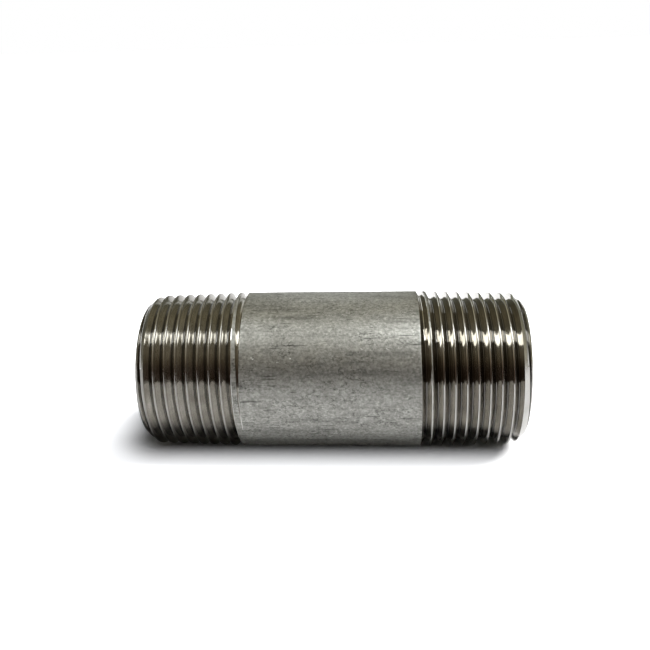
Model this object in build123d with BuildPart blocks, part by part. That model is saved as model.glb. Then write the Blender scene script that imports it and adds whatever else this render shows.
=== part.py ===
from build123d import *
import os
from math import ceil, cos, radians, sin, tan

# Threaded pipe nipple: a short length of 3/4 inch Schedule 40 stainless pipe with a
# right-hand 3/4-14 NPT taper thread cut on each end and a plain barrel between.
# The pipe axis lies along X, the origin is on the axis at mid length, +Z is up.

INCH = 25.4
DEGREES_PER_TURN = 360

# pipe
PIPE_OD = 26.67
PIPE_WALL = 2.87
NIPPLE_LENGTH = 2.5 * INCH
PIPE_RADIUS = PIPE_OD / 2
BORE_RADIUS = PIPE_RADIUS - PIPE_WALL

# 60 degree taper thread
THREADS_PER_INCH = 14
PITCH = INCH / THREADS_PER_INCH
TAPER_PER_RADIUS = 1 / 32
FLANK_ANGLE = 30
END_PITCH_RADIUS = 24.579 / 2
SHARP_HEIGHT = PITCH * cos(radians(FLANK_ANGLE))
CREST_TRUNCATION = 0.225
ROOT_TRUNCATION = 0.09
END_CREST_RADIUS = END_PITCH_RADIUS + SHARP_HEIGHT / 2 - CREST_TRUNCATION
END_ROOT_RADIUS = END_PITCH_RADIUS - SHARP_HEIGHT / 2 + ROOT_TRUNCATION
ROOT_HALF_WIDTH = ROOT_TRUNCATION * tan(radians(FLANK_ANGLE))

# where each groove starts to rise out of the pipe: its distance from that end's face,
# and its place around the pipe, measured from +Y towards +Z
LEFT_FULL_THREAD = 16.35
LEFT_RUN_OUT_ANGLE = 37
RIGHT_FULL_THREAD = 16.77
RIGHT_RUN_OUT_ANGLE = 143

# the turns it takes to rise, how far, and how gradually it begins
RUN_OUT_TURNS = 0.5
RUN_OUT_RISE = 1.4
RUN_OUT_POWER = 1.2

# end faces
END_FACE_RADIUS = 11.5
CHAMFER_ANGLE = 39
BORE_CHAMFER = 0.35

# groove cutter
SHOULDER_CLEARANCE = 0.04
CUTTER_HEIGHT = 2.2
LEAD_IN_TURNS = 1.4
ARC_TURNS = 0.25
POINTS_PER_ARC = 5

chamfer_length = (END_CREST_RADIUS - END_FACE_RADIUS) / tan(radians(CHAMFER_ANGLE))
half_length = NIPPLE_LENGTH / 2
crest_cone_length = (PIPE_RADIUS - END_CREST_RADIUS) / TAPER_PER_RADIUS
chamfer_top_radius = END_CREST_RADIUS + chamfer_length * TAPER_PER_RADIUS
thread_height = END_CREST_RADIUS - END_ROOT_RADIUS
shoulder_height = thread_height + SHOULDER_CLEARANCE
shoulder_half_width = ROOT_HALF_WIDTH + shoulder_height * tan(radians(FLANK_ANGLE))

# each thread: the side of the origin it is on, its full length and its run-out angle
threads = (
    (-1, LEFT_FULL_THREAD, LEFT_RUN_OUT_ANGLE),
    (1, RIGHT_FULL_THREAD, RIGHT_RUN_OUT_ANGLE),
)

# the cutter's section: distance along the pipe and height above the thread root
cutter_section = (
    (-ROOT_HALF_WIDTH, 0),
    (-shoulder_half_width, shoulder_height),
    (-shoulder_half_width, CUTTER_HEIGHT),
    (shoulder_half_width, CUTTER_HEIGHT),
    (shoulder_half_width, shoulder_height),
    (ROOT_HALF_WIDTH, 0),
)


def groove_point(thread, turns, along, above_root):
    """A point of the groove cutter's section, counted in turns from the full thread's
    inner end: negative towards the pipe's end, positive into the run-out."""
    side, full_thread, run_out_angle = thread
    from_end = full_thread + turns * PITCH
    rise = 0
    if turns > 0:
        rise = RUN_OUT_RISE * (turns / RUN_OUT_TURNS) ** RUN_OUT_POWER
    radius = END_ROOT_RADIUS + from_end * TAPER_PER_RADIUS + rise + above_root
    # a right-hand thread turns the same way whichever end it is seen from
    angle = radians(run_out_angle - side * turns * DEGREES_PER_TURN)
    return Vector(
        side * (half_length - from_end) + along,
        radius * cos(angle),
        radius * sin(angle),
    )


def groove_cutter(thread):
    """The solid that one tapered groove takes out of the pipe, from clear of the end
    face to clear of the barrel, with its faces split into short arcs."""
    _, full_thread, _ = thread
    first_turn = -full_thread / PITCH - LEAD_IN_TURNS
    arc_count = ceil((RUN_OUT_TURNS - first_turn) / ARC_TURNS)
    arc = (RUN_OUT_TURNS - first_turn) / arc_count
    faces = []
    for n in range(arc_count):
        arc_start = first_turn + n * arc
        rails = []
        for along, above_root in cutter_section:
            points = [
                groove_point(thread, arc_start + arc * i / POINTS_PER_ARC, along, above_root)
                for i in range(-1, POINTS_PER_ARC + 2)
            ]
            tangents = (points[2] - points[0], points[-1] - points[-3])
            with BuildLine(mode=Mode.PRIVATE) as rail:
                Spline(*points[1:-1], tangents=tangents)
            rails.append(rail.edge())
        faces += [
            Face.make_surface_from_curves(rails[i - 1], rails[i]) for i in range(len(rails))
        ]
        if n == 0:
            faces.append(Face(Wire.make_polygon([rail @ 0 for rail in rails], close=True)))
        if n == arc_count - 1:
            faces.append(Face(Wire.make_polygon([rail @ 1 for rail in rails], close=True)))
    return Solid(Shell(faces))


# pipe blank with tapered ends, end chamfers and a clean bore, turned from a half section
# below the axis, so that the seam of its round faces runs along the underside
with BuildPart() as nipple_body:
    with BuildSketch(-Plane.XZ):
        with BuildLine():
            Polyline(
                (-half_length, BORE_RADIUS + BORE_CHAMFER),
                (-half_length, END_FACE_RADIUS),
                (-half_length + chamfer_length, chamfer_top_radius),
                (-half_length + crest_cone_length, PIPE_RADIUS),
                (half_length - crest_cone_length, PIPE_RADIUS),
                (half_length - chamfer_length, chamfer_top_radius),
                (half_length, END_FACE_RADIUS),
                (half_length, BORE_RADIUS + BORE_CHAMFER),
                (half_length - BORE_CHAMFER, BORE_RADIUS),
                (-half_length + BORE_CHAMFER, BORE_RADIUS),
                close=True,
            )
        make_face()
    revolve(axis=Axis.X)

    for thread in threads:
        add(groove_cutter(thread), mode=Mode.SUBTRACT)

nipple_body.part.label = "nipple_body"
os.makedirs("parts", exist_ok=True)
export_step(nipple_body.part, "parts/nipple_body.step")
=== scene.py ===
import math
import random

import bmesh
import bpy
import numpy as np
from mathutils import Matrix, Vector, noise


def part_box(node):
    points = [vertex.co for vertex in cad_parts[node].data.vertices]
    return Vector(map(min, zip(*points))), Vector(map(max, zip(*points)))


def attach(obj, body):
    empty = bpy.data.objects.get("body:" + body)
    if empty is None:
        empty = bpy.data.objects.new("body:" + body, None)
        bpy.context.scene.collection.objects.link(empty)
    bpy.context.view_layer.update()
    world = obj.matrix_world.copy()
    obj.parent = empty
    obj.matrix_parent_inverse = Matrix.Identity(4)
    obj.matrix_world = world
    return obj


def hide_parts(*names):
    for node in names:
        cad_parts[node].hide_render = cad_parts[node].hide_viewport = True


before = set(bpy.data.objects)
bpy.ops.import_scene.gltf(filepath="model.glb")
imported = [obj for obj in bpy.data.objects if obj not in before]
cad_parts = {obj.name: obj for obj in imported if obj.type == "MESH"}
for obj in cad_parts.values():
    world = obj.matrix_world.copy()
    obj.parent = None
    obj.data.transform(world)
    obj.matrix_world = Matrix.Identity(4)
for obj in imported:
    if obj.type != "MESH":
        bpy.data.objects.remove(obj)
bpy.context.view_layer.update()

pipe_low, pipe_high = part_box("nipple_body")

MM = 0.001

# pipe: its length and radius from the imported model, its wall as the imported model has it
HALF_LENGTH = pipe_high.x
PIPE_RADIUS = pipe_high.z
PIPE_WALL = 2.87 * MM
BORE_RADIUS = PIPE_RADIUS - PIPE_WALL

# 3/4-14 taper thread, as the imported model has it. Each thread's groove starts to rise out
# of the pipe at full from its end's face and at phase, in turns from +Y towards +Z, and it
# rises over run_out turns.
PITCH = 25.4 / 14 * MM
TAPER = 1 / 32
FLANK_SPREAD = math.tan(math.radians(30))
END_CREST_RADIUS = 12.850 * MM
END_ROOT_RADIUS = 11.594 * MM
ROOT_HALF_WIDTH = 0.052 * MM
LEFT = {"full": 16.35 * MM, "phase": 37 / 360, "run_out": 0.5}
RIGHT = {"full": 16.77 * MM, "phase": 143 / 360, "run_out": 0.5}
RUN_OUT_RISE = 1.4 * MM
RUN_OUT_POWER = 1.2

# how far from an end's face its crests reach the pipe's full radius
CREST_CONE = (PIPE_RADIUS - END_CREST_RADIUS) / TAPER

# end faces
END_FACE_RADIUS = 11.5 * MM
CHAMFER_SLOPE = math.tan(math.radians(39))
BORE_CHAMFER = 0.35 * MM
EDGE_ROUNDING = 0.05 * MM

# the skin's mesh: columns round the pipe, how many turns its rows take to cross the
# barrel, and turns past each end that are trimmed away
COLUMNS = 240
BARREL_TURNS = 4
SPARE_TURNS = 2

# the rows of one turn: their places up a flank, and one just over the crest's edge
FLANK_ROWS = (0, 0.1, 0.37, 0.64, 0.91, 1)
CREST_EDGE = 0.06 * MM
CREST_EDGE_SHARE = 0.45

# past a run-out's end, in turns: the rows spread out evenly and the groove is shut
SPREAD_START = 0.05
SPREAD_END = 0.95
GROOVE_SHUT = 0.1

# the corners' rounding, and the rings over each end and through the bore
CREST_ROUNDING = 0.07 * MM
ROOT_ROUNDING = 0.04 * MM
LEAST_FLANK = 0.02 * MM
MOUTH_RINGS = 6
BORE_RINGS = 24
MERGE_DISTANCE = 0.0002 * MM
SHARP_ANGLE = math.radians(32)

# the finishes, as material slots. Each thread's flanks come in two, by the way they face, and
# their colours are
# painted: pale where they face left, as painted highlight, and dark where they face right, as
# painted shade.
# The left thread's come first, and the right thread's are RIGHT_THREAD slots further on.
FACING_RIGHT, FACING_LEFT, RIGHT_THREAD, CREST, TURNED, PIPE_SKIN, BORE = 0, 1, 2, 4, 5, 6, 7

# of a turn's strips between two rows, the first past the root's middle and the first on
# the crest
ROOT_STRIP = 7
CREST_STRIP = 14

# a corner counts as cut this far below the pipe's radius, and as chamfered this near the
# chamfer's cone
CUT_DEPTH = 0.012 * MM
CHAMFER_GAP = 0.002 * MM

# the floor's glow: absent over this box, and growing from the first distance off it to the
# second
GLOW_GAP_X = (-30 * MM, 27 * MM)
GLOW_GAP_Y = (0.0, 12 * MM)
GLOW_FADE = (3.2 * MM, 12 * MM)

# wear: waves in the pipe's skin, which is what lies within SKIN_BAND of its radius, small
# nicks on the threads, as far as reach from the ends, and wider dings as far as reach from
# the middle
SKIN_WAVE_DEPTH = 0.02 * MM
SKIN_WAVE_SIZE = 7 * MM
SKIN_BAND = 0.02 * MM
NICKS = {"count": 46, "reach": 17 * MM, "size": 0.28 * MM, "depth": 0.05 * MM}
DINGS = {"count": 14, "reach": 16 * MM, "size": 0.7 * MM, "depth": 0.03 * MM}

# stage: the two key lights' ends along X and radiance, their place along Y and Z and
# their depth, and half the floor's width
KEYS = {
    "left_key": (-0.105, -0.0405, 7.5),
    "right_key": (0.0255, 0.24, 11.0),
}
KEY_PLACE = (-0.0316, 0.12)
KEY_DEPTH = 0.041
FLOOR_HALF = 3.0


def smoothstep(value, start, end):
    share = np.clip((value - start) / (end - start), 0, 1)
    return share * share * (3 - 2 * share)


def softened(value, rounding):
    """max(value, 0) with its corner rounded off."""
    return 0.5 * (value + np.sqrt(value * value + rounding * rounding))


# ---------------------------------------------------------------- the threaded skin
# The rows of the skin's mesh are helices. They follow the left thread, cross the barrel
# in a few steep turns and follow the right thread. Turns are counted along the pipe.

left_start = -HALF_LENGTH + LEFT["full"] - PITCH * LEFT["phase"]
right_start = HALF_LENGTH - RIGHT["full"] - PITCH * (RIGHT["phase"] + BARREL_TURNS)


def place_of(turns):
    """Distance along X of the helix after so many turns."""
    left = left_start + PITCH * turns
    right = right_start + PITCH * turns
    on_barrel = smoothstep(turns, LEFT["phase"] + 1, BARREL_TURNS + RIGHT["phase"] - 1)
    return left + (right - left) * on_barrel


def blank_radius(from_end):
    """The turned blank before its end chamfers: a cylinder with a cone at each end."""
    return np.minimum(PIPE_RADIUS, END_CREST_RADIUS + from_end * TAPER)


def chamfer_radius(from_end):
    return END_FACE_RADIUS + from_end * CHAMFER_SLOPE


def helical_rows():
    """Distance along X, radius and depth in the groove (0 to 1) of every point of the
    skin, as rows x columns, and the number of rows in one turn."""
    first = math.floor(LEFT["phase"] - LEFT["full"] / PITCH) - SPARE_TURNS
    last = BARREL_TURNS + math.ceil(RIGHT["phase"] + RIGHT["full"] / PITCH) + SPARE_TURNS
    turns = np.arange(COLUMNS)[:, None] / COLUMNS + np.arange(first, last)

    # turns into each thread's run-out, and that groove's place and depth
    left_run = turns - LEFT["phase"]
    right_run = BARREL_TURNS + RIGHT["phase"] - turns
    on_left = left_run < right_run
    run = np.where(on_left, left_run, right_run)
    full, run_out = (np.where(on_left, LEFT[key], RIGHT[key]) for key in ("full", "run_out"))
    centre = full + run * PITCH
    rise = RUN_OUT_RISE * (np.maximum(run, 0) / run_out) ** RUN_OUT_POWER
    root = END_ROOT_RADIUS + centre * TAPER + rise
    flank = np.maximum((blank_radius(centre) - root) * FLANK_SPREAD, LEAST_FLANK)
    crest = PITCH / 2 - ROOT_HALF_WIDTH - flank
    spread = smoothstep(run, run_out + SPREAD_START, SPREAD_END)

    corner = ROOT_HALF_WIDTH + flank
    half = [ROOT_HALF_WIDTH + flank * share for share in FLANK_ROWS]
    half += [corner + np.minimum(CREST_EDGE, CREST_EDGE_SHARE * crest), corner + crest]
    offsets = [-row for row in reversed(half[:-1])] + [0 * flank] + half

    places, radii, depths = [], [], []
    for n, offset in enumerate(offsets):
        even = ((n + 1) / len(offsets) - 0.5) * PITCH
        offset = offset * (1 - spread) + even * spread
        place = place_of(turns + offset / PITCH)
        from_end = HALF_LENGTH - np.abs(place)
        above_root = (np.abs(offset) - ROOT_HALF_WIDTH) / FLANK_SPREAD
        groove = root + softened(above_root, ROOT_ROUNDING)
        blank = blank_radius(from_end)
        cut = softened(blank - groove, CREST_ROUNDING)
        cut = np.where(run > run_out + GROOVE_SHUT, 0, cut)
        places.append(place)
        radii.append(blank - cut)
        depths.append(np.clip(cut / (END_CREST_RADIUS - END_ROOT_RADIUS), 0, 1))
    shape = (COLUMNS, -1)
    place, radius, depth = (
        np.stack(grid, axis=-1).reshape(shape).T for grid in (places, radii, depths)
    )
    return place, radius, depth, len(offsets)


def trim_to_chamfer(place, radius):
    """Cuts the rows back to the two end chamfers. Where a row crosses a chamfer, its last
    point moves to the crossing, so that the edge runs clean."""
    from_end = HALF_LENGTH - np.abs(place)
    proud = radius - chamfer_radius(from_end)
    new_place, new_radius = place.copy(), np.minimum(radius, chamfer_radius(from_end))
    moved = np.full(place.shape, np.inf)
    for step in (-1, 1):
        near = np.roll(proud, step, axis=0)
        share = proud / np.where(proud == near, 1, proud - near)
        crosses = (proud > 0) & (near <= 0) & (share < moved)
        x = place + (np.roll(place, step, axis=0) - place) * share
        new_place = np.where(crosses, x, new_place)
        new_radius = np.where(crosses, chamfer_radius(HALF_LENGTH - np.abs(x)), new_radius)
        moved = np.where(crosses, share, moved)
    limit = HALF_LENGTH - EDGE_ROUNDING
    beyond = np.abs(new_place) > limit
    new_place = np.clip(new_place, -limit, limit)
    new_radius = np.where(beyond, chamfer_radius(EDGE_ROUNDING), new_radius)
    return new_place, new_radius


def end_rings():
    """Rings from the left chamfer's edge over the end face and through the bore to the
    right chamfer's edge, as (distance along X, radius). Those of an end face and its mouth
    stand a share of EDGE_ROUNDING off the sharp corners, which rounds them."""
    inner = BORE_RADIUS + BORE_CHAMFER
    half = [
        (HALF_LENGTH - 0.25 * EDGE_ROUNDING, END_FACE_RADIUS - 0.1 * EDGE_ROUNDING),
        (HALF_LENGTH, END_FACE_RADIUS - EDGE_ROUNDING),
        (HALF_LENGTH, inner + EDGE_ROUNDING),
        (HALF_LENGTH - 0.3 * EDGE_ROUNDING, inner),
        (HALF_LENGTH - BORE_CHAMFER + 0.7 * EDGE_ROUNDING, BORE_RADIUS + 0.8 * EDGE_ROUNDING),
        (HALF_LENGTH - BORE_CHAMFER - 0.7 * EDGE_ROUNDING, BORE_RADIUS),
    ]
    bore_end = half[-1][0]
    left = [(-x, r) for x, r in half]
    bore = [(x, BORE_RADIUS) for x in np.linspace(-bore_end, bore_end, BORE_RINGS)[1:-1]]
    return left + bore + half[::-1]


def wear_skin(points, radius):
    """How much worn or uneven metal stands below its nominal radius at each point."""
    picked = random.Random(14)
    lost = np.zeros(len(points))
    skin = radius > PIPE_RADIUS - SKIN_BAND
    for i in np.flatnonzero(skin):
        wave = noise.fractal(Vector(points[i] / SKIN_WAVE_SIZE), 0.6, 2.0, 3)
        lost[i] = SKIN_WAVE_DEPTH * min(max(0.5 + wave, 0), 1)
    marks = [
        (HALF_LENGTH - NICKS["reach"] * picked.random(), NICKS["size"], NICKS["depth"])
        for _ in range(NICKS["count"])
    ]
    marks += [
        (DINGS["reach"] * picked.random(), DINGS["size"], DINGS["depth"])
        for _ in range(DINGS["count"])
    ]
    for distance, size, depth in marks:
        x = distance * picked.choice((-1, 1))
        angle = math.tau * picked.random()
        size *= 0.6 + picked.random()
        depth *= 0.5 + picked.random()
        spot = np.array((x, PIPE_RADIUS * math.cos(angle), PIPE_RADIUS * math.sin(angle)))
        gap = (points - spot) / size
        near = np.exp(-(gap * gap).sum(axis=1))
        lost = np.maximum(lost, depth * near)
    return lost


def strip_finish(strip):
    """The finish of one strip between two rows, counted within its turn."""
    if strip < ROOT_STRIP:
        return FACING_RIGHT
    if strip < CREST_STRIP:
        return FACING_LEFT
    return CREST


def build_pipe():
    place, radius, depth, per_turn = helical_rows()
    place, radius = trim_to_chamfer(place, radius)
    rows = len(place)
    angle = math.tau * np.arange(COLUMNS) / COLUMNS
    across = np.stack([np.cos(angle), np.sin(angle)], axis=-1)

    points = np.concatenate([place[..., None], radius[..., None] * across], axis=-1)
    points = points.reshape(-1, 3)
    flat_radius = radius.reshape(-1)
    lost = wear_skin(points, flat_radius)
    points[:, 1:] *= (1 - lost / flat_radius)[:, None]
    rings = end_rings()
    for x, r in rings:
        ring = np.concatenate([np.full((COLUMNS, 1), x), r * across], axis=-1)
        points = np.concatenate([points, ring])

    # faces: the helical skin, then the rings that close it over its ends and bore
    def skin_index(row, column):
        if column == COLUMNS:
            row, column = min(row + per_turn, rows - 1), 0
        return row * COLUMNS + column

    faces = []
    finish = []
    is_cut = (radius < PIPE_RADIUS - CUT_DEPTH).reshape(-1)
    chamfer = chamfer_radius(HALF_LENGTH - np.abs(place))
    on_chamfer = (radius > chamfer - CHAMFER_GAP).reshape(-1)
    for row in range(rows - 1):
        kind = strip_finish(row % per_turn)
        for column in range(COLUMNS):
            corners = (
                skin_index(row, column),
                skin_index(row, column + 1),
                skin_index(row + 1, column + 1),
                skin_index(row + 1, column),
            )
            faces.append(corners)
            x = points[corners[0], 0]
            full = RIGHT["full"] if x > 0 else LEFT["full"]
            from_end = HALF_LENGTH - abs(x)
            in_thread = from_end < (CREST_CONE if kind == CREST else full)
            # painted shade: the left chamfer takes the crests' darker metal, standing in for the
            # dark it mirrors on that side; the right chamfer stays bright
            if on_chamfer[list(corners)].all():
                finish.append(TURNED if x > 0 else CREST)
            elif kind == CREST and not in_thread:
                finish.append(PIPE_SKIN)
            elif is_cut[list(corners)].sum() >= 3 or in_thread:
                finish.append(kind + (RIGHT_THREAD if x > 0 and kind < CREST else 0))
            else:
                finish.append(PIPE_SKIN)
    first_ring = rows * COLUMNS
    ring_rows = [0] + [first_ring + n * COLUMNS for n in range(len(rings))]
    ring_rows.append((rows - 1) * COLUMNS)
    for n, (start, end) in enumerate(zip(ring_rows, ring_rows[1:])):
        in_bore = MOUTH_RINGS <= n < len(ring_rows) - 1 - MOUTH_RINGS
        for column in range(COLUMNS):
            after = (column + 1) % COLUMNS
            faces.append((start + column, end + column, end + after, start + after))
            finish.append(BORE if in_bore else TURNED)

    mesh = bpy.data.meshes.new("pipe_shell")
    mesh.from_pydata(points.tolist(), [], faces)
    mesh.polygons.foreach_set("material_index", finish)
    groove = mesh.attributes.new("groove", "FLOAT", "POINT")
    groove.data.foreach_set("value", np.append(depth, np.zeros(len(rings) * COLUMNS)))
    work = bmesh.new()
    work.from_mesh(mesh)
    bmesh.ops.remove_doubles(work, verts=work.verts, dist=MERGE_DISTANCE)
    bmesh.ops.dissolve_degenerate(work, edges=work.edges, dist=MERGE_DISTANCE)
    work.to_mesh(mesh)
    work.free()
    mesh.shade_smooth()
    mesh.set_sharp_from_angle(angle=SHARP_ANGLE)
    piece = bpy.data.objects.new("pipe_shell", mesh)
    bpy.context.scene.collection.objects.link(piece)
    return piece


# ---------------------------------------------------------------- materials


class Nodes:
    """Short calls for building a material's nodes."""

    def __init__(self, name):
        self.material = bpy.data.materials.new(name)
        self.material.use_nodes = True
        self.tree = self.material.node_tree
        self.shader = self.tree.nodes["Principled BSDF"]
        self.shader.inputs["Metallic"].default_value = 1.0
        self.place = self.tree.nodes.new("ShaderNodeTexCoord").outputs["Object"]

    def link(self, output, target):
        self.tree.links.new(output, target)

    def new(self, kind, **settings):
        node = self.tree.nodes.new(kind)
        for name, value in settings.items():
            setattr(node, name, value)
        return node

    def noise(self, scale, detail=3.0, roughness=0.55):
        """Noise with so many cells per metre along X, Y and Z."""
        mapping = self.new("ShaderNodeMapping")
        mapping.inputs["Scale"].default_value = scale
        self.link(self.place, mapping.inputs["Vector"])
        texture = self.new("ShaderNodeTexNoise")
        texture.inputs["Scale"].default_value = 1.0
        texture.inputs["Detail"].default_value = detail
        texture.inputs["Roughness"].default_value = roughness
        self.link(mapping.outputs["Vector"], texture.inputs["Vector"])
        return texture.outputs["Fac"]

    def ramp(self, value, *stops):
        """A colour ramp through (place, colour or grey) stops."""
        node = self.new("ShaderNodeValToRGB")
        elements = node.color_ramp.elements
        while len(elements) < len(stops):
            elements.new(0.5)
        for element, (place, colour) in zip(elements, stops):
            if isinstance(colour, (int, float)):
                colour = (colour,) * 3
            element.position = place
            element.color = (*colour, 1.0)
        self.link(value, node.inputs["Fac"])
        return node.outputs["Color"]

    def math(self, operation, a, b):
        node = self.new("ShaderNodeMath", operation=operation)
        for socket, value in zip(node.inputs, (a, b)):
            if isinstance(value, (int, float)):
                socket.default_value = value
            else:
                self.link(value, socket)
        return node.outputs["Value"]

    def multiply(self, a, b):
        node = self.new("ShaderNodeMix", data_type="RGBA", blend_type="MULTIPLY")
        node.inputs["Factor"].default_value = 1.0
        self.link(a, node.inputs["A"])
        self.link(b, node.inputs["B"])
        return node.outputs["Result"]

    def long_stain(self, middle, reach, tone):
        """A patch that darkens to tone at its middle, with ragged edges. Its middle and
        its reach along X, Y and Z are in mm."""
        mapping = self.new("ShaderNodeMapping")
        mapping.vector_type = "POINT"
        scale = [1 / (value * MM) for value in reach]
        mapping.inputs["Scale"].default_value = scale
        mapping.inputs["Location"].default_value = [
            -place * MM * times for place, times in zip(middle, scale)
        ]
        self.link(self.place, mapping.inputs["Vector"])
        length = self.new("ShaderNodeVectorMath", operation="LENGTH")
        self.link(mapping.outputs["Vector"], length.inputs[0])
        ragged = self.math("SUBTRACT", self.noise((500, 1400, 1400), detail=3.0), 0.5)
        distance = self.math("ADD", length.outputs["Value"], self.math("MULTIPLY", ragged, 1.6))
        return self.ramp(distance, (0.25, tone), (1.0, 1.0))

    def bump(self, height, distance, normal=None):
        node = self.new("ShaderNodeBump")
        node.inputs["Strength"].default_value = 1.0
        node.inputs["Distance"].default_value = distance
        self.link(height, node.inputs["Height"])
        if normal:
            self.link(normal, node.inputs["Normal"])
        return node.outputs["Normal"]

    def finish(self, colour, roughness, normal):
        self.link(colour, self.shader.inputs["Base Color"])
        self.link(roughness, self.shader.inputs["Roughness"])
        self.link(normal, self.shader.inputs["Normal"])
        return self.material


def cut_thread_metal(name, dark, pale, smooth, rough):
    """A freshly cut flank: tool lines round the pipe, stains, and dark lines painted in: under
    the crest's edge a painted shade, and in the root oil left there together with painted shade
    in the recess."""
    n = Nodes(name)
    groove = n.new("ShaderNodeAttribute", attribute_name="groove").outputs["Fac"]
    lines = n.noise((14000, 60, 60), detail=2.0)
    stains = n.noise((300, 300, 300), detail=4.0)
    metal = n.ramp(stains, (0.35, dark), (0.65, pale))
    # painted shade: darker just under the crest's edge, and in the root, where it also stands
    # for oil
    oil = n.ramp(groove, (0.02, 1.0), (0.07, 0.45), (0.13, 1.0), (0.88, 1.0), (0.97, 0.3))
    scored = n.ramp(lines, (0.35, 0.82), (0.6, 1.0))
    colour = n.multiply(n.multiply(metal, oil), scored)
    roughness = n.ramp(stains, (0.3, smooth), (0.75, rough))
    return n.finish(colour, roughness, n.bump(lines, 0.0008 * MM))


def turned_metal(name, dark, pale):
    """Turned metal with fine rings: the crests and the left chamfer, painted darker as painted
    shade, and the brighter right chamfer and end faces.
    """
    n = Nodes(name)
    lines = n.noise((9000, 120, 120), detail=2.0)
    stains = n.noise((260, 260, 260), detail=4.0)
    colour = n.ramp(stains, (0.3, dark), (0.7, pale))
    roughness = n.ramp(stains, (0.3, 0.16), (0.75, 0.28))
    return n.finish(colour, roughness, n.bump(lines, 0.0015 * MM))


def pipe_skin_metal():
    """The pickled and drawn skin of the pipe: a satin, speckled grey with wiry scratches, long
    smudges and thin dark drawing marks along the pipe, and small bright pits, with a darker band
    painted along its front at mid-height as a painted reflection of the dark room in front."""
    n = Nodes("pipe_skin_metal")
    mottle = n.noise((420, 420, 420), detail=5.0, roughness=0.65)
    smudge = n.noise((48, 520, 520), detail=3.0)
    marks = n.noise((260, 3400, 3400), detail=2.0)
    drawn = n.noise((70, 1500, 1500), detail=3.0)
    grain = n.noise((2100, 2600, 2600), detail=4.0, roughness=0.7)
    wires = n.noise((520, 900, 900), detail=3.0)
    patches = n.noise((150, 260, 260), detail=2.0)
    pits = n.noise((1500, 1500, 1500), detail=2.0)
    colour = n.ramp(mottle, (0.3, (0.51, 0.51, 0.475)), (0.7, (0.63, 0.63, 0.59)))
    colour = n.multiply(colour, n.ramp(smudge, (0.28, 0.6), (0.46, 1.0)))
    colour = n.multiply(colour, n.ramp(marks, (0.29, 0.42), (0.36, 1.0)))
    grain_tone = n.ramp(grain, (0.32, 0.33), (0.5, 0.53), (0.62, 0.68), (0.71, 1.0))
    colour = n.multiply(colour, grain_tone)
    # wiry scratches follow the noise's middle contour, in patches
    bare = n.ramp(patches, (0.42, 0.0), (0.56, 1.0))
    wiry = n.ramp(wires, (0.478, 0.0), (0.494, 1.0), (0.506, 1.0), (0.522, 0.0))
    scratched = n.math("MULTIPLY", n.math("MULTIPLY", bare, wiry), 0.5)
    colour = n.multiply(colour, n.math("SUBTRACT", 1.0, scratched))
    colour = n.multiply(colour, n.long_stain((-6.0, -6.1, 11.86), (5.5, 0.9, 0.55), 0.72))
    # painted reflection: these two darken a long band along the barrel's front at mid-height,
    # where it mirrors the dark room in front
    colour = n.multiply(colour, n.long_stain((-4.0, -12.4, 5.0), (14, 1.6, 1.5), 0.84))
    colour = n.multiply(colour, n.long_stain((10.0, -12.4, 5.0), (9, 1.6, 1.2), 0.86))
    roughness = n.ramp(mottle, (0.3, 0.54), (0.7, 0.43))
    dented = n.bump(n.ramp(pits, (0.68, 1.0), (0.76, 0.0)), 0.03 * MM, n.bump(drawn, 0.006 * MM))
    return n.finish(colour, roughness, n.bump(grain, 0.016 * MM, dented))


def bore_metal():
    """The inside of the pipe: duller than the skin, with long marks."""
    n = Nodes("bore_metal")
    mottle = n.noise((300, 300, 300), detail=4.0)
    drawn = n.noise((60, 1300, 1300), detail=3.0)
    colour = n.multiply(
        n.ramp(mottle, (0.3, (0.28, 0.27, 0.26)), (0.7, (0.40, 0.39, 0.37))),
        n.ramp(drawn, (0.3, 0.8), (0.6, 1.0)),
    )
    roughness = n.ramp(mottle, (0.3, 0.6), (0.7, 0.45))
    return n.finish(colour, roughness, n.bump(drawn, 0.01 * MM))


# ---------------------------------------------------------------- stage


def floor_paper():
    """White paper. It glows to the camera alone, less and less towards the pipe, so that
    the shadow is dark only near the pipe and fades over some millimetres."""
    n = Nodes("floor_paper")
    n.shader.inputs["Metallic"].default_value = 0.0
    n.shader.inputs["Base Color"].default_value = (0.8, 0.8, 0.8, 1.0)
    n.shader.inputs["Roughness"].default_value = 0.9
    n.shader.inputs["Specular IOR Level"].default_value = 0.2
    split = n.new("ShaderNodeSeparateXYZ")
    n.link(n.place, split.inputs[0])
    beyond = []
    for axis, low, high in (("X", *GLOW_GAP_X), ("Y", *GLOW_GAP_Y)):
        over = n.math("SUBTRACT", split.outputs[axis], high)
        under = n.math("SUBTRACT", low, split.outputs[axis])
        outside = n.math("MAXIMUM", n.math("MAXIMUM", over, under), 0.0)
        beyond.append(n.math("MULTIPLY", outside, outside))
    distance = n.math("SQRT", n.math("ADD", *beyond), 0.0)
    fade = n.new("ShaderNodeMapRange", interpolation_type="SMOOTHSTEP")
    fade.inputs["From Min"].default_value, fade.inputs["From Max"].default_value = GLOW_FADE
    n.link(distance, fade.inputs["Value"])
    n.shader.inputs["Emission Color"].default_value = (0.97, 0.98, 1.0, 1.0)
    path = n.new("ShaderNodeLightPath")
    seen = n.math("MULTIPLY", fade.outputs["Result"], path.outputs["Is Camera Ray"])
    n.link(seen, n.shader.inputs["Emission Strength"])
    return n.material


def build_floor():
    half = FLOOR_HALF
    z = pipe_low.z
    mesh = bpy.data.meshes.new("floor")
    mesh.from_pydata(
        [(-half, -half, z), (half, -half, z), (half, half, z), (-half, half, z)],
        [],
        [(0, 1, 2, 3)],
    )
    floor = bpy.data.objects.new("floor", mesh)
    bpy.context.scene.collection.objects.link(floor)
    mesh.materials.append(floor_paper())


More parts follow.
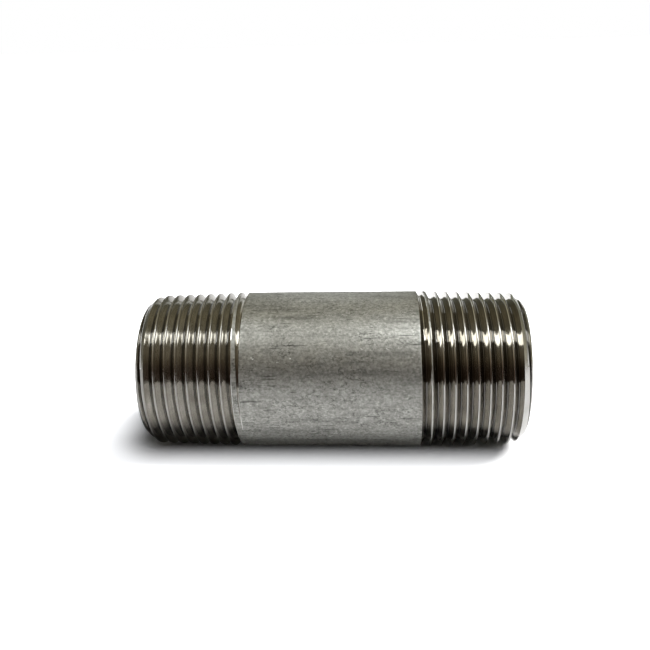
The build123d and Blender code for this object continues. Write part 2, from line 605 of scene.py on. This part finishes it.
def area_light(name, place, size, radiance, facing=(0, 0, 1)):
    """A soft rectangular light that only the metal sees. It shines against facing."""
    data = bpy.data.lights.new(name, "AREA")
    data.color = (0.95, 0.98, 1.0)
    data.shape = "RECTANGLE"
    data.size, data.size_y = size
    data.energy = radiance * math.pi * size[0] * size[1]
    light = bpy.data.objects.new(name, data)
    light.location = place
    light.rotation_euler = Vector(facing).to_track_quat("Z", "Y").to_euler()
    light.visible_camera = False
    light.visible_diffuse = False
    bpy.context.scene.collection.objects.link(light)


def build_sun():
    """Even light on the floor, from above and the right, and soft enough for the shadow's
    edge to fade. The metal doesn't mirror it."""
    data = bpy.data.lights.new("sun", "SUN")
    data.energy = 5.7
    data.angle = math.radians(30)
    sun = bpy.data.objects.new("sun", data)
    sun.rotation_euler = Vector((0.65, 0.0, 1)).to_track_quat("Z", "Y").to_euler()
    sun.visible_glossy = False
    bpy.context.scene.collection.objects.link(sun)


def build_world():
    """White to the camera. What the metal mirrors is a dim warm room, darkest in front."""
    world = bpy.data.worlds.new("room")
    bpy.context.scene.world = world
    world.use_nodes = True
    nodes, links = world.node_tree.nodes, world.node_tree.links
    background = nodes["Background"]
    direction = nodes.new("ShaderNodeTexCoord").outputs["Generated"]
    split = nodes.new("ShaderNodeSeparateXYZ")
    links.new(direction, split.inputs[0])
    flip = nodes.new("ShaderNodeMath")
    flip.operation = "MULTIPLY"
    flip.inputs[1].default_value = -1.0
    links.new(split.outputs["Y"], flip.inputs[0])
    over = nodes.new("ShaderNodeMath")
    over.operation = "ARCTAN2"
    links.new(split.outputs["Z"], over.inputs[0])
    links.new(flip.outputs["Value"], over.inputs[1])
    ramp = nodes.new("ShaderNodeValToRGB")
    # how far over the object from the front horizon, in degrees, and the room's colour there
    stops = (
        (0, (0.08, 0.055, 0.04)),
        (24, (0.09, 0.063, 0.045)),
        (36, (0.19, 0.15, 0.10)),
        (52, (0.38, 0.33, 0.24)),
        (86, (0.47, 0.445, 0.35)),
        (98, (0.49, 0.46, 0.35)),
        (116, (0.42, 0.375, 0.25)),
        (148, (0.27, 0.25, 0.17)),
        (160, (0.22, 0.22, 0.17)),
    )
    while len(ramp.color_ramp.elements) < len(stops):
        ramp.color_ramp.elements.new(0.5)
    for element, (angle, colour) in zip(ramp.color_ramp.elements, stops):
        element.position = angle / 180
        element.color = (*colour, 1.0)
    remap = nodes.new("ShaderNodeMapRange")
    remap.inputs["From Max"].default_value = math.pi
    links.new(over.outputs["Value"], remap.inputs["Value"])
    links.new(remap.outputs["Result"], ramp.inputs["Fac"])
    path = nodes.new("ShaderNodeLightPath")
    mix = nodes.new("ShaderNodeMix")
    mix.data_type = "RGBA"
    mix.inputs["B"].default_value = (1.0, 1.0, 1.0, 1.0)
    links.new(path.outputs["Is Camera Ray"], mix.inputs["Factor"])
    # the floor takes next to no light from the room, so the pipe's underside stays dark
    dim = nodes.new("ShaderNodeMix")
    dim.data_type = "RGBA"
    dim.inputs["B"].default_value = (0.02, 0.02, 0.02, 1.0)
    links.new(path.outputs["Is Diffuse Ray"], dim.inputs["Factor"])
    links.new(ramp.outputs["Color"], dim.inputs["A"])
    links.new(dim.outputs["Result"], mix.inputs["A"])
    links.new(mix.outputs["Result"], background.inputs["Color"])


def build_camera():
    """The photograph's viewpoint: a little right of straight on, about 22 degrees above."""
    azimuth, elevation, roll = math.radians(3.70), math.radians(21.7), math.radians(-1.71)
    back = Vector((
        math.sin(azimuth) * math.cos(elevation),
        -math.cos(azimuth) * math.cos(elevation),
        math.sin(elevation),
    ))
    level = Vector((math.cos(azimuth), math.sin(azimuth), 0))
    steep = back.cross(level)
    right = level * math.cos(roll) + steep * math.sin(roll)
    up = steep * math.cos(roll) - level * math.sin(roll)
    data = bpy.data.cameras.new("camera")
    data.sensor_width = 36
    data.lens = 41.4
    data.clip_start, data.clip_end = 0.005, 20
    camera = bpy.data.objects.new("camera", data)
    # the pipe's middle is this far right of, above and in front of the camera
    middle = (1.63 * MM, -7.52 * MM, 130.5 * MM)
    place = back * middle[2] - right * middle[0] - up * middle[1]
    camera.matrix_world = Matrix((right, up, back)).transposed().to_4x4()
    camera.location = place
    bpy.context.scene.collection.objects.link(camera)
    bpy.context.scene.camera = camera


pipe = build_pipe()
for material in (
    # painted highlight and painted shade: the flanks facing left get a pale colour and those
    # facing right a dark one, for how each side catches the lights
    cut_thread_metal(
        "left_thread_facing_right", (0.235, 0.22, 0.19), (0.33, 0.313, 0.28), 0.12, 0.2
    ),
    cut_thread_metal(
        "left_thread_facing_left", (0.74, 0.735, 0.71), (0.84, 0.835, 0.82), 0.04, 0.09
    ),
    cut_thread_metal(
        "right_thread_facing_right", (0.15, 0.138, 0.115), (0.22, 0.205, 0.178), 0.08, 0.14
    ),
    cut_thread_metal(
        "right_thread_facing_left", (0.74, 0.73, 0.70), (0.85, 0.84, 0.82), 0.03, 0.07
    ),
    # painted shade: the crests' metal is darker than the turned metal, to dim the bright lines
    # they mirror
    turned_metal("crest_metal", (0.20, 0.195, 0.185), (0.32, 0.31, 0.295)),
    turned_metal("turned_metal", (0.46, 0.45, 0.43), (0.60, 0.59, 0.57)),
    pipe_skin_metal(),
    bore_metal(),
):
    pipe.data.materials.append(material)
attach(pipe, "root")
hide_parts("nipple_body")

build_floor()
for name, (left, right, radiance) in KEYS.items():
    place = ((left + right) / 2, *KEY_PLACE)
    area_light(name, place, (right - left, KEY_DEPTH), radiance)
# behind and over the barrel, for its back edge, and kept narrow for the threads' sake
area_light("back_card", (-0.008, 0.098, 0.069), (0.052, 0.1), 0.9, facing=(0, 0.82, 0.57))
build_sun()
build_world()
build_camera()
bpy.context.scene.view_settings.view_transform = "Standard"
